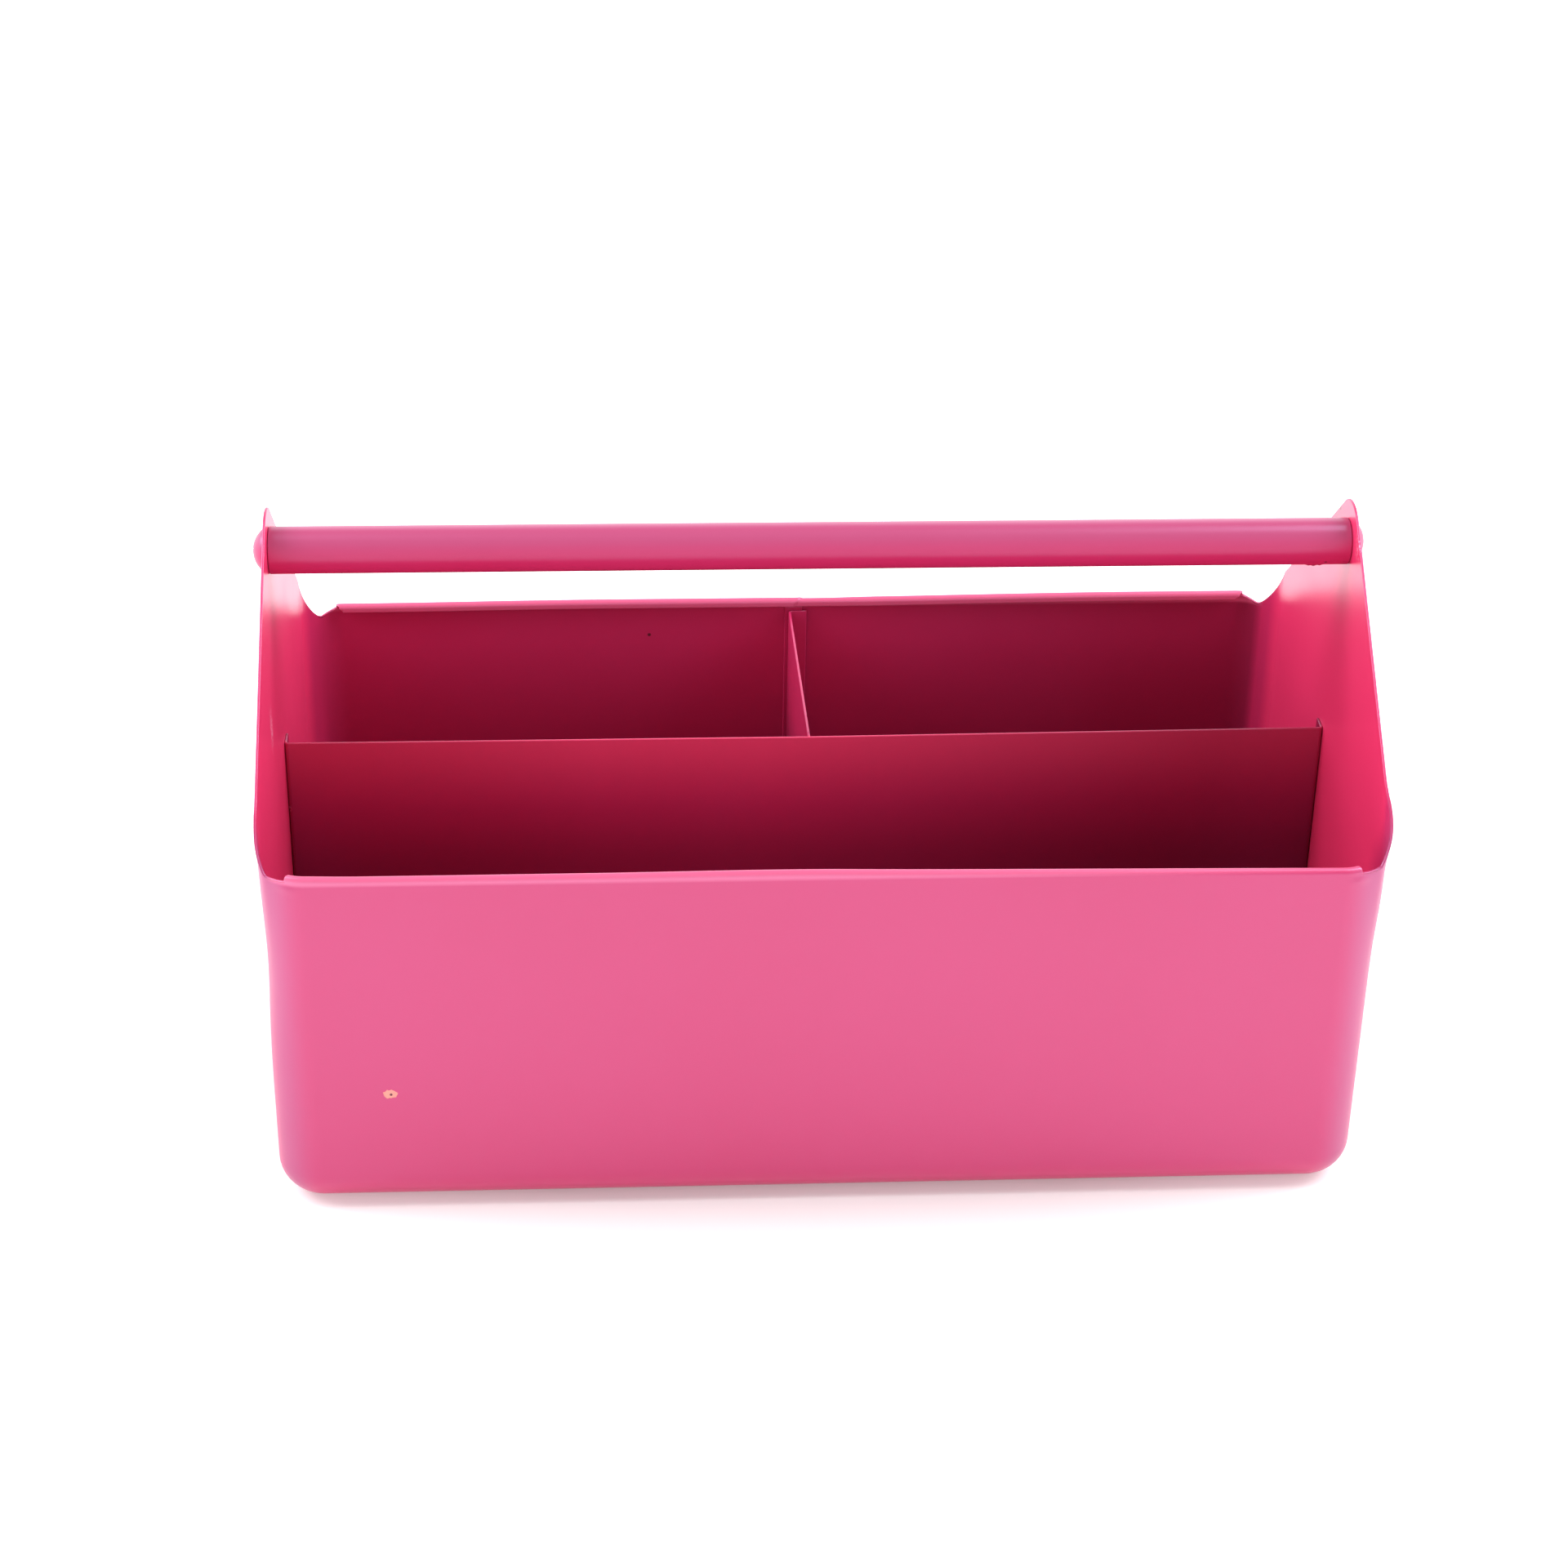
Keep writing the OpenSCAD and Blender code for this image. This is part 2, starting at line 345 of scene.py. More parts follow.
PINK = (0.570, 0.025, 0.120, 1)
PINK_DEEP = (0.560, 0.021, 0.106, 1)
SHEEN_TINT = (0.55, 0.66, 1.0, 1)
CHIP_EDGE = (0.85, 0.30, 0.22, 1)
CHIP_CORE = (0.16, 0.03, 0.03, 1)
SPECK = (0.10, 0.01, 0.015, 1)
RUBBED = (0.93, 0.42, 0.60, 1)
BLACK = (0, 0, 0, 1)

# The tones below are painted light and shade, put into the coat by place on the object. They were tuned
# because the studio light alone has less contrast than the photograph. They aren't colours of the real paint.
# Painted highlights on the hems, the front corners' bends and the grip's top, and painted light on the inner
# gables and the divider's top edge.
HEM_PAINTED_HIGHLIGHT = (0.70, 0.110, 0.235, 1)
BEND_PAINTED_HIGHLIGHT = (0.45, 0.048, 0.150, 1)
GRIP_PAINTED_HIGHLIGHT = (0.44, 0.060, 0.156, 1)
GABLE_PAINTED_LIGHT = (0.76, 0.033, 0.132, 1)
EDGE_PAINTED_LIGHT = (0.86, 0.055, 0.160, 1)
LOW_SHADE = 0.5  # painted shade: part of the coat's brightness taken away low down inside
RIGHT_SHADE = 0.4  # the same at the right end of the rear wall's inner face
END_SHADE = 0.48  # the same at the ends of the long divider
FLOOR_SHADE = 0.15  # the same at each edge of the floor

# Distances from the tub's middle at which a tone starts, is full, fades and ends. The flat outer faces lie
# beyond the end, but the outside of the bends passes through. There the painted rear shade is a dark band on
# the rear corners and along the rear bottom edge, and the gable's painted light is a strip on the corners.
REAR_INNER_FACE = (96, 98, 100.3, 100.7)
GABLE_INNER_FACE = (180.5, 182.8, 183.3, 183.7)


def wall_painted_light_and_shade(coat, colour):
    """Painted light and shade of the wall: paler hems and front corners, vivid inner gables, rear inside
    darker low and rightward.
    """
    x, y, z = coat.axes()
    across, along = coat.math("ABSOLUTE", x), coat.math("ABSOLUTE", y)
    # Painted shade on the rear wall's inner face, darker low down and to the right
    low = coat.math("MULTIPLY", coat.ramp(z, 20, 112, LOW_SHADE, 0), coat.between(y, *REAR_INNER_FACE))
    right = coat.math("MULTIPLY", coat.ramp(x, 20, 180, 0, RIGHT_SHADE), coat.between(y, *REAR_INNER_FACE))
    colour = coat.mix_colour(right, coat.mix_colour(low, colour, BLACK), BLACK)
    # Painted light on the gables' inner faces
    colour = coat.mix_colour(coat.between(across, *GABLE_INNER_FACE), colour, GABLE_PAINTED_LIGHT)
    # Painted highlight on the bends of the front corners
    bend = coat.math("MULTIPLY", coat.ramp(across, 169, 180, even=True), coat.ramp(y, -84, -95, even=True))
    colour = coat.mix_colour(bend, colour, BEND_PAINTED_HIGHLIGHT)
    # Painted highlight along the hems
    hem = coat.math("MULTIPLY", coat.ramp(along, HALF_DEP - 2 * HEM_R - 2, HALF_DEP - 2 * HEM_R),
                    coat.ramp(z, HEM_AXIS_H - 2.4, HEM_AXIS_H - 1.2))
    return coat.mix_colour(hem, colour, HEM_PAINTED_HIGHLIGHT)


def inner_painted_light_and_shade(coat, colour):
    """Painted shade on the dividers, low down and to the ends, and painted light near the long divider's top
    edge.
    """
    x, y, z = coat.axes()
    top = DIVIDER_HIGH[2]
    colour = coat.mix_colour(coat.ramp(z, top - 54, top - 18, LOW_SHADE, 0, even=True), colour, BLACK)
    edge = coat.math("MULTIPLY", coat.ramp(z, top - 30, top + 2, even=True), coat.ramp(y, 5.5, 7, 1, 0))
    colour = coat.mix_colour(edge, colour, EDGE_PAINTED_LIGHT)
    ends = coat.ramp(coat.math("ABSOLUTE", coat.math("ADD", x, 45)), 30, 190, 0, END_SHADE)
    return coat.mix_colour(ends, colour, BLACK)


def floor_painted_shade(coat, colour):
    """Painted shade: slightly darker towards the floor's edges."""
    x, y, _ = coat.axes()
    across = coat.ramp(coat.math("ABSOLUTE", x), 110, 172, 0, FLOOR_SHADE)
    along = coat.ramp(coat.math("ABSOLUTE", y), 40, 90, 0, FLOOR_SHADE)
    return coat.mix_colour(coat.math("ADD", across, along), colour, BLACK)


def grip_top_painted_highlight(coat, colour):
    """Painted highlight: paler, to lavender, on the side of the grip that is up at rest. It turns with the
    grip.
    """
    return coat.mix_colour(coat.ramp(coat.axes()[2], AXIS_H, AXIS_H + 6, even=True), colour, GRIP_PAINTED_HIGHLIGHT)


def grip_gloss(coat):
    """Specular level of the grip, lower on the side that is down at rest. It turns with the grip too."""
    return coat.ramp(coat.axes()[2], AXIS_H - 2, AXIS_H + 5, 0.35, 1)


# Lowest and highest roughness of the coat. Lower values leave marks in denoised renders
COAT_ROUGHNESS = (0.285, 0.36)
# Relief of the coat, from the largest to the finest: (wavelength, detail, noise roughness, depth)
COAT_RELIEF = (
    (38, 1, 0.5, 0.10),  # slow waves of the sheet
    (2.6, 2, 0.45, 0.011),  # orange peel
    (0.45, 2, 0.5, 0.0022),  # grain
)
CHIP_ROUGHNESS = 0.7
CHIP_DEPTH = 0.12


def powder_coat(name, tones, chips=(), specks=(), rubs=(), gloss=None):
    """Semi-gloss pink powder coat: fine orange peel, slow drifts of colour and gloss, and its own damage.

    tones puts in the piece's painted light and shade, and gloss sets its specular level where that varies.
    chips and specks are (place, radius), and rubs are (place, radius, stretch), in millimetres.
    """
    coat = Shader(name)
    drift = coat.noise(90, 3)
    colour = tones(coat, coat.mix_colour(coat.ramp(drift, 0.2, 0.8, even=True), PINK_DEEP, PINK))
    rough = coat.ramp(coat.noise(45, 3), 0.1, 0.9, *COAT_ROUGHNESS)
    height = None
    for wavelength, detail, noise_roughness, depth in COAT_RELIEF:
        height = coat.bump(coat.noise(wavelength, detail, noise_roughness), depth, height)
    for place, radius, squash in rubs:
        near = coat.distance(place, squash)
        patch = coat.math("MULTIPLY", coat.ramp(near, radius * 0.3, radius, 1, 0),
                          coat.ramp(coat.noise(0.9, 3, 0.7), 0.52, 0.60))
        colour = coat.mix_colour(patch, colour, RUBBED)
    for place, radius in specks:
        colour = coat.mix_colour(coat.ramp(coat.distance(place), radius * 0.6, radius, 1, 0), colour, SPECK)
    for place, radius in chips:
        rag = coat.math("MULTIPLY", coat.math("SUBTRACT", coat.noise(1.1, 2), 0.5), radius * 0.9)
        near = coat.math("ADD", coat.distance(place, (0.72, 1, 1)), rag)
        colour = coat.mix_colour(coat.ramp(near, radius * 0.92, radius, 1, 0), colour, CHIP_EDGE)
        middle = (place[0] + radius * 0.15, place[1], place[2] - radius * 0.1)
        core = coat.ramp(coat.distance(middle), radius * 0.22, radius * 0.34, 1, 0)
        colour = coat.mix_colour(core, colour, CHIP_CORE)
        rough = coat.mix_value(coat.ramp(near, radius * 0.92, radius, 1, 0), rough, CHIP_ROUGHNESS)
        height = coat.bump(coat.ramp(near, radius * 0.8, radius), CHIP_DEPTH, height)
    coat.set(Base_Color=colour, Roughness=rough, Normal=height, Metallic=0.0, IOR=1.5,
             Specular_IOR_Level=gloss(coat) if gloss else 1.0, Specular_Tint=SHEEN_TINT)
    return coat.material


ZINC_TINT = (1.0, 1.0, 1.03)


def zinc_plate(name):
    """Dull zinc plating on turned steel."""
    zinc = Shader(name)
    bright = zinc.ramp(zinc.noise(3, 3), 0.3, 0.7, 0.46, 0.60)
    colour = zinc.nodes.new("ShaderNodeCombineColor")
    for k, tint in enumerate(ZINC_TINT):
        zinc.links.new(zinc.math("MULTIPLY", bright, tint), colour.inputs[k])
    rough = zinc.ramp(zinc.noise(1.2, 3), 0.3, 0.7, 0.32, 0.5)
    height = zinc.bump(zinc.noise(0.6, 2), 0.006)
    zinc.set(Base_Color=colour.outputs[0], Roughness=rough, Metallic=1.0, Normal=height)
    return zinc.material


# ---------------------------------------------------------------- wrap-around wall

BEND = CORNER_R * math.pi / 2  # length of a corner's bend
QUARTER = FLAT_X + BEND + FLAT_Y  # from the middle of a long wall to the middle of a gable
# Length of a corner's bend that the hem covers, by whether it is the front hem
HEM_END = {True: CORNER_R * math.radians(FRONT_HEM_WRAP), False: CORNER_R * math.radians(REAR_HEM_WRAP)}
# Length of a corner's bend from the long wall to the bottom of the notch
NOTCH = CORNER_R * math.radians(90 - NOTCH_TURN)


def plan(s):
    """Place at a distance round the wall from the middle of the front, anticlockwise seen from above.

    Gives the line that the section's distances are counted from, and the direction outward.
    """
    lap, s = divmod(s, 2 * QUARTER)
    turn = math.pi * (lap % 2)
    if s <= FLAT_X:
        x, y, angle = s, -FLAT_Y, -math.pi / 2
    elif s <= FLAT_X + BEND:
        x, y, angle = FLAT_X, -FLAT_Y, (s - FLAT_X) / CORNER_R - math.pi / 2
    elif s <= FLAT_X + BEND + 2 * FLAT_Y:
        x, y, angle = FLAT_X, s - FLAT_X - BEND - FLAT_Y, 0
    elif s <= FLAT_X + 2 * BEND + 2 * FLAT_Y:
        x, y, angle = FLAT_X, FLAT_Y, (s - FLAT_X - BEND - 2 * FLAT_Y) / CORNER_R
    else:
        x, y, angle = 2 * QUARTER - s, FLAT_Y, math.pi / 2
    flip = math.cos(turn)
    return np.array((flip * x, flip * y)), np.array((math.cos(angle + turn), math.sin(angle + turn)))


def from_middle(s):
    """Distance along the wall from the middle of the nearer long wall."""
    return min(s % (2 * QUARTER), -s % (2 * QUARTER))


def in_front(s):
    """Whether the nearer long wall is the front one."""
    return not QUARTER < s % (4 * QUARTER) < 3 * QUARTER


def hem_end(s):
    """Distance from the middle of the nearer long wall to the end of its hem."""
    return FLAT_X + HEM_END[in_front(s)]


def wall_top(s):
    """Height of the sheet's top edge, below any hem."""
    q = from_middle(s)
    notch_h = RIM_H - (FRONT_NOTCH_DROP if in_front(s) else REAR_NOTCH_DROP)
    if q <= hem_end(s) + 1e-6:
        return HEM_AXIS_H
    if q <= FLAT_X + NOTCH:
        rise = (FLAT_X + NOTCH - q) / (FLAT_X + NOTCH - hem_end(s))
        return lerp(notch_h, HEM_AXIS_H, rise)
    if q < FLAT_X + BEND:
        turn = math.degrees((FLAT_X + BEND - q) / CORNER_R)
        if in_front(s):
            return notch_h + (SHOULDER_H - notch_h) * soft_positive(1 - (turn / FRONT_KNEE_TURN) ** 1.3)
        down = math.sin(math.radians(turn)) / math.sin(math.radians(REAR_KNEE_TURN))
        return notch_h + (SHOULDER_H - notch_h) * soft_positive(1 - down)
    y = QUARTER - q
    if y < TIP_R * math.sin(GABLE_SLOPE):
        return AXIS_H + math.sqrt(TIP_R**2 - y**2)
    return AXIS_H + TIP_R / math.cos(GABLE_SLOPE) - y * math.tan(GABLE_SLOPE)


def soft_positive(x, blend=0.06):
    """x above 0 and 0 below, with the corner rounded."""
    return (x + math.sqrt(x * x + blend * blend)) / 2


def quarter_columns(long_steps, end):
    """Distances of the columns from a long wall's middle, whose hem ends here, to the gable's middle."""
    bend = steps(0, end, 0.6) + steps(end, NOTCH, 0.7) + steps(NOTCH, BEND, 0.8)
    gable = steps(0, FLAT_Y - 16, 3.2) + steps(FLAT_Y - 16, FLAT_Y, 0.9)
    return long_steps + [FLAT_X + b for b in bend] + [FLAT_X + BEND + g for g in gable]


def wall_columns():
    """Distances round the wall of all the grid's columns."""
    hem_zone = steps(FLAT_X - 12, FLAT_X, 0.9)
    front = quarter_columns(steps(0, FLAT_X - 12, 4.2) + hem_zone, HEM_END[True])
    rear = quarter_columns(steps(0, 6, 0.4) + steps(6, FLAT_X - 12, 4.2) + hem_zone, HEM_END[False])
    right = front + [QUARTER] + [2 * QUARTER - r for r in reversed(rear)]
    return right + [4 * QUARTER - r for r in reversed(right[1:-1])]


FLANGE_ROWS = 5
RING_ROWS = 12
WALL_ROWS = 54
ROLL_ROWS = 12
LIP_ROWS = 3
HEM_ROW = FLANGE_ROWS + RING_ROWS + WALL_ROWS


MITRE_ROLL = 1.1  # how far the hem's roll is cut back at its ends
MITRE_LIP = 1.8  # how much further its lip is
MITRE_REACH = 11.0  # length of hem over which the columns are drawn in for it


def mitre(row):
    """How far inside the hem's end a row of the hem is cut, for the mitred end."""
    past = row - HEM_ROW
    if past < ROLL_ROWS:
        return MITRE_ROLL * smooth(0.35, 1.0, (past + 1) / ROLL_ROWS)
    return MITRE_ROLL + MITRE_LIP * (past - ROLL_ROWS + 1) / LIP_ROWS


def hem_place(s, row):
    """Distance round the wall of a hem row's point in column s, drawn in at the mitred ends."""
    inside = hem_end(s) - from_middle(s)
    if inside > MITRE_REACH or inside < -1e-6:
        return s
    pull = mitre(row) * (1 - inside / MITRE_REACH)
    before_middle = s % (2 * QUARTER) > QUARTER
    return s + pull if before_middle else s - pull


def wall_rows(s):
    """Points and normals up a column of the wall's outer face, from the floor's opening to the hem's lip."""
    line, out = plan(s)
    inner_r = CORNER_R - EDGE_R
    opening = line * (1 - FLOOR_FLANGE / np.array((FLAT_X, FLAT_Y)))
    points = []
    normals = []
    for k in range(FLANGE_ROWS):
        x, y = lerp(opening, line, k / FLANGE_ROWS) + out * inner_r
        points.append((x, y, 0))
        normals.append((0, 0, -1))
    for k in range(RING_ROWS):
        angle = math.pi / 2 * (k / RING_ROWS - 1)
        x, y = line + out * (inner_r + EDGE_R * math.cos(angle))
        points.append((x, y, EDGE_R + EDGE_R * math.sin(angle)))
        normals.append((*(out * math.cos(angle)), math.sin(angle)))
    top = wall_top(s)
    for k in range(WALL_ROWS):
        up = 1 - (1 - k / (WALL_ROWS - 1)) ** 1.5
        points.append((*(line + out * CORNER_R), lerp(EDGE_R, top, up)))
        normals.append((*out, 0))
    for k in range(ROLL_ROWS):
        angle = math.pi * (k + 1) / ROLL_ROWS
        line, out = plan(hem_place(s, HEM_ROW + k))
        x, y = line + out * (CORNER_R - HEM_R + HEM_R * math.cos(angle))
        points.append((x, y, HEM_AXIS_H + HEM_R * math.sin(angle)))
        normals.append((*(out * math.cos(angle)), math.sin(angle)))
    for k in range(LIP_ROWS):
        line, out = plan(hem_place(s, HEM_ROW + ROLL_ROWS + k))
        x, y = line + out * (CORNER_R - 2 * HEM_R)
        points.append((x, y, HEM_AXIS_H - HEM_LIP * (k + 1) / LIP_ROWS))
        normals.append((*-out, 0))
    return points, normals


# Flare of the free edges of the front corners, by side: (outward, middle and width in degrees from the gable)
FRONT_FLARE = {-1: (1.3, 29, 17), 1: (2.4, 25, 20)}
# Bulge of the front corners lower down, by side: (outward, height, spread in height)
CORNER_BULGE = {-1: (-1.1, 92, 24), 1: (0.8, 113, 16)}


def front_rim_shift(x):
    """Height of the front rim above its nominal height: it sags a little to the right."""
    return -1.0 + 0.35 * hill(x, -20, 35) - 2.2 * np.clip(x / 175, 0, 1) + 0.5 * smooth(-150, -178, x)


def rear_rim_shift(x):
    """The same for the rear rim, which rises a little to the right."""
    return 0.35 + 1.1 * smooth(0, 130, x) - 0.7 * smooth(-70, -170, x)


CREASE_STEP = 0.24  # how far the right end of the rear hem lies below the left one
CREASE_EDGE = 0.07  # how far the left end stands proud at the joint
PUCKER = 0.42  # height of the bulge under each end of the front hem
PUCKER_DIP = 0.16  # depth of the dip above it


def hem_crease(x, rows):
    """Depth of the rear hem's surface at its joint, where the left end laps over the right along a slant."""
    along = np.clip((rows - HEM_ROW) / (ROLL_ROWS + LIP_ROWS), 0, 1)
    line = lerp(4.0, 0.2, along)
    on_hem = smooth(HEM_ROW - 3, HEM_ROW, rows)
    step = smooth(line - 0.25, line + 0.25, x) * (1 - smooth(9, 32, x))
    return on_hem * (CREASE_STEP * step - CREASE_EDGE * hill(x, line - 0.8, 0.7))


def hem_pucker(q, z, end):
    """Height of the small bulge of the front corners just under each end of the hem."""
    bulge = PUCKER * hill(q, end - 1.0, 3.2) * hill(z, RIM_H - 4.6, 1.2)
    return bulge - PUCKER_DIP * hill(q, end, 4) * hill(z, RIM_H - 2.6, 0.8)


def shaped(points, normals, distances):
    """The small ways in which the pressed wall differs from its drawing: flared corners and uneven rims."""
    x, y, z = (points[..., k] for k in range(3))
    q = np.array([from_middle(s) for s in distances])[:, None]
    turn = np.degrees((FLAT_X + BEND - q) / CORNER_R)
    edge = np.array([wall_top(s) for s in distances])[:, None]
    out = np.zeros_like(x)
    for side in (-1, 1):
        here = (x * side > 0) & (y < 0)
        flare, middle, width = FRONT_FLARE[side]
        below = np.clip(edge - z, 0, None)
        out += here * flare * hill(turn, middle, width) * np.exp(-below / 14) * (z > EDGE_R)
        bulge, height, spread = CORNER_BULGE[side]
        out += here * bulge * hill(turn, 10, 45) * hill(z, height, spread)
    rows = np.arange(x.shape[1])[None, :]
    out += (y < 0) * (rows < HEM_ROW) * hem_pucker(q, z, FLAT_X + HEM_END[True])
    out -= (y > FLAT_Y) * hem_crease(x, rows)
    rim = np.where(y < 0, front_rim_shift(x), rear_rim_shift(x))
    # The rims' shift fades out down the wall and round the corners
    near_rim = smooth(FLAT_X + BEND + 8, FLAT_X + NOTCH, q) * smooth(45, 125, z)
    moved = points + normals * out[..., None]
    # The wall stays inside the CAD's depth
    moved[..., 1] = np.clip(moved[..., 1], -HALF_DEP, HALF_DEP)
    moved[..., 2] += rim * near_rim
    return moved


HOLE_REACH = 5.0  # grid points this close to the screw's axis are dropped, or drawn to the hole's edge


def screw_holes(points, used):
    """Cuts the handle screws' round holes: drops the cells inside, and draws their border to a circle."""
    radius = np.hypot(points[..., 1], points[..., 2] - AXIS_H)
    near = radius < HOLE_REACH
    inside = near[:, :-1] & near[:, 1:]
    inside &= np.roll(inside, -1, axis=0)
    inside &= np.abs(points[:, :-1, 0]) > HALF_LEN - SHEET
    used &= ~inside
    for i, r in np.argwhere(near):
        around = [((i + di) % len(used), r + dr) for di in (-1, 0) for dr in (-1, 0)]
        cells = [used[cell] for cell in around if cell[1] < used.shape[1]]
        if any(cells) and not all(cells):
            y, z = points[i, r, 1], points[i, r, 2] - AXIS_H
            scale = (HOLE_R + CUT_EDGE_DEPTH) / math.hypot(y, z)
            points[i, r, 1:] = y * scale, AXIS_H + z * scale


def tub_wall(material):
    distances = wall_columns()
    rows = [wall_rows(s) for s in distances]
    points = np.array([r[0] for r in rows], float)
    normals = np.array([r[1] for r in rows], float)
    used = np.ones((len(distances), points.shape[1] - 1), bool)
    hemmed = np.array([from_middle(s) <= hem_end(s) + 1e-6 for s in distances])
    used[:, HEM_ROW - 1:] = (hemmed & np.roll(hemmed, -1))[:, None]
    screw_holes(points, used)
    points = shaped(points, normals, distances)
    wall = Sheet()
    wall.add(points, normals, used, closed=True)
    # Inner layer of the rear lap
    xs = np.array(steps(LAP_LEFT, LAP_RIGHT, 0.6) + [LAP_RIGHT])
    zs = np.linspace(CURVE_H, HEM_AXIS_H - HEM_LIP, 40)
    grid = np.array([[(x, HALF_DEP - SHEET, z) for z in zs] for x in xs[::-1]])
    wall.add(grid, np.broadcast_to((0.0, 1.0, 0.0), grid.shape))
    return wall.piece("tub_shell", material, "tub", "powder_coat", ["tub_wall"])


# ---------------------------------------------------------------- floor and dividers


WELD_IN = 8.0  # from the floor's edge to its spot welds
WELD_DEPTH = 0.22
WELD_SPREAD = 5.0  # square of the radius at which a weld's dent has faded to about a third
WELDS_ALONG, WELDS_ACROSS = 9, 5


def floor_plate(material):
    """Flat plate on the turned-in flange, with a row of spot-weld dents near its edge."""
    pitch = 2.0
    high_x, high_y = FLOOR_HIGH[0], FLOOR_HIGH[1]
    xs = np.linspace(-high_x, high_x, round(2 * high_x / pitch) + 1)
    ys = np.linspace(-high_y, high_y, round(2 * high_y / pitch) + 1)
    x, y = np.meshgrid(xs, ys, indexing="ij")
    # Corner points are drawn in to round the plate's corners
    radius = CORNER_R - EDGE_R
    over_x = np.maximum(np.abs(x) - (high_x - radius), 0)
    over_y = np.maximum(np.abs(y) - (high_y - radius), 0)
    reach = np.hypot(over_x, over_y)
    scale = np.where(reach > radius, radius / np.maximum(reach, 1e-6), 1)
    x = np.sign(x) * (np.abs(x) - over_x * (1 - scale))
    y = np.sign(y) * (np.abs(y) - over_y * (1 - scale))
    z = np.full_like(x, FLOOR_HIGH[2])
    end_x, end_y = high_x - WELD_IN, high_y - WELD_IN
    welds = [(wx, wy) for wx in np.linspace(-end_x, end_x, WELDS_ALONG) for wy in (-end_y, end_y)]
    welds += [(wx, wy) for wy in np.linspace(-end_y, end_y, WELDS_ACROSS)[1:-1] for wx in (-end_x, end_x)]
    for wx, wy in welds:
        z -= WELD_DEPTH * np.exp(-(((x - wx) ** 2 + (y - wy) ** 2) / WELD_SPREAD))
    points = np.stack([x, y, z], axis=-1)
    plate = Sheet()
    plate.add(points, np.broadcast_to((0.0, 0.0, 1.0), points.shape))
    return plate.piece("floor_panel", material, "tub", "powder_coat", ["floor_plate"])


PLAN_PITCH = 3.5  # between points along the straight runs of a bent sheet
ARC_STEPS = 7
UPRIGHT_ROWS = 26


def bent_plan(corners, radius):
    """Plan points along straight runs joined by round bends, and their normals to the right of the way."""
    corners = [np.array(c, float) for c in corners]
    points = []
    normals = []
    start = corners[0]
    for before, corner, after in zip(corners, corners[1:], corners[2:], strict=False):
        into = (corner - before) / np.linalg.norm(corner - before)
        onward = (after - corner) / np.linalg.norm(after - corner)
        turn = math.atan2(into[0] * onward[1] - into[1] * onward[0], into @ onward)
        cut = radius * math.tan(abs(turn) / 2)
        end = corner - into * cut
        side = np.array((into[1], -into[0]))
        for t in steps(0, 1, PLAN_PITCH / max(np.linalg.norm(end - start), PLAN_PITCH)):
            points.append(lerp(start, end, t))
            normals.append(side)
        centre = end - side * radius * math.copysign(1, turn)
        for k in range(ARC_STEPS):
            angle = turn * k / ARC_STEPS
            way = np.array((side[0] * math.cos(angle) - side[1] * math.sin(angle),
                            side[0] * math.sin(angle) + side[1] * math.cos(angle)))
            points.append(centre + way * radius * math.copysign(1, turn))
            normals.append(way)
        start = corner + onward * cut
        last = onward
    side = np.array((last[1], -last[0]))
    for t in steps(0, 1, PLAN_PITCH / max(np.linalg.norm(corners[-1] - start), PLAN_PITCH)) + [1]:
        points.append(lerp(start, corners[-1], t))
        normals.append(side)
    return np.array(points), np.array(normals)


def upright(outline, bottom, top):
    """A sheet stood on a plan line: points and normals. bottom and top give its heights at a plan point."""
    points, normals = outline
    rows = UPRIGHT_ROWS
    grid = np.array([[(*p, lerp(bottom(p), top(p), k / (rows - 1))) for k in range(rows)] for p in points])
    flat = np.concatenate([normals, np.zeros((len(normals), 1))], axis=1)
    return grid, np.repeat(flat[:, None], rows, axis=1)


DIVIDER_LIFT = 0.1  # height of the long divider's top edge above the CAD's even one
DIVIDER_RISE = 0.0068  # further rise per millimetre to the right of the middle


def long_divider(material):
    low, high = DIVIDER_LOW, DIVIDER_HIGH
    end, front = high[0], low[1]
    flange_back = front + BEND_R + SIDE_FLANGE
    cut_x = HALF_LEN - EDGE_R - 1.5
    floor_top = FLOOR_HIGH[2]

    def bottom(p):
        reach = abs(p[0])
        if reach < cut_x:
            return floor_top
        return min(CURVE_H, lerp(floor_top, CURVE_H, (reach - cut_x) / (end - BEND_R - cut_x)))

    line = bent_plan([(-end, flange_back), (-end, front), (end, front), (end, flange_back)], BEND_R)
    panel = Sheet()
    panel.add(*upright(line, bottom, lambda p: high[2] + DIVIDER_LIFT + DIVIDER_RISE * max(p[0], 0)))
    # Foot flanges either side of the cross divider
    for side in (-1, 1):
        near, far = FOOT_FLANGE + 2 * SHEET, cut_x - 2 * SHEET
        xs = np.linspace(near, far, 40) if side > 0 else np.linspace(-far, -near, 40)
        ys = np.linspace(front + SHEET, front + SHEET + FOOT_FLANGE, 5)
        grid = np.array([[(x, y, floor_top + SHEET) for y in ys] for x in xs])
        panel.add(grid, np.broadcast_to((0.0, 0.0, 1.0), grid.shape))
    return panel.piece("long_partition", material, "tub", "powder_coat", ["long_divider"])


# Places of the cross divider's ends, rightward of the CAD's left face: it stands slightly askew
CROSS_FRONT_SHIFT, CROSS_REAR_SHIFT = 0.7, -0.9


